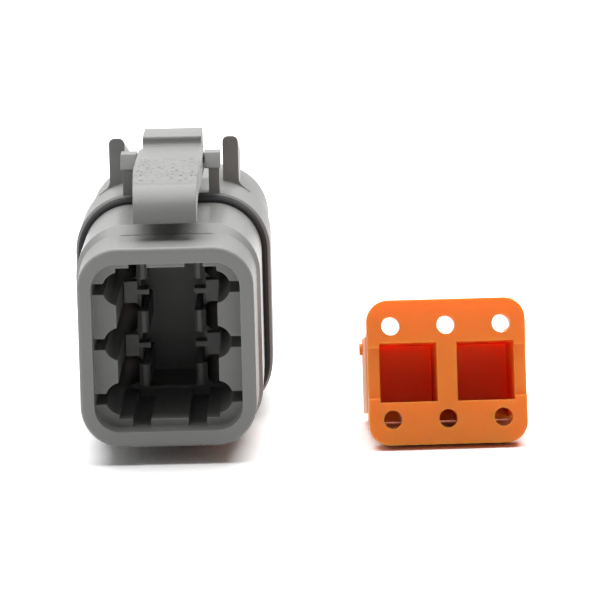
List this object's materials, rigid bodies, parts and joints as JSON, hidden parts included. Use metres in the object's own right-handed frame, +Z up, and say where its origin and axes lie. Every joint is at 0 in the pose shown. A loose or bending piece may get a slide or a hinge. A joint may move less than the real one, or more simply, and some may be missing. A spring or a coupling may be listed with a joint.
{
  "type": "sealed automotive connector",
  "caption": "Sealed rectangular plug housing with a pivoting top latch, silicone seals, and its wedge lock lying beside it.",
  "frame": {"origin": "centre of the plug's mating face", "axes": "+Z up, +Y from the mating face to the wire end, +X to the side where the wedge lock lies"},
  "size_m": [0.0347, 0.037, 0.0218],
  "materials": {
    "grey_plastic": "satin moulded",
    "seal_dark": "matt, slightly oily",
    "seal_orange": "matt",
    "orange_plastic": "satin moulded"
  },
  "bodies": {
    "housing": {"plug_housing": "grey_plastic", "front_seal": "seal_dark", "wire_seal": "seal_orange", "wedge_lock": "orange_plastic"},
    "latch": {"latch_lever": "grey_plastic"}
  },
  "joints": [
    {"name": "latch_pivot", "type": "hinge", "parent": "housing", "child": "latch", "pos_m": [0, 0.01915, 0.01158], "axis": [-1, 0, 0], "range_deg": [0, 9], "stiffness_Nm_per_rad": 0.05}
  ]
}
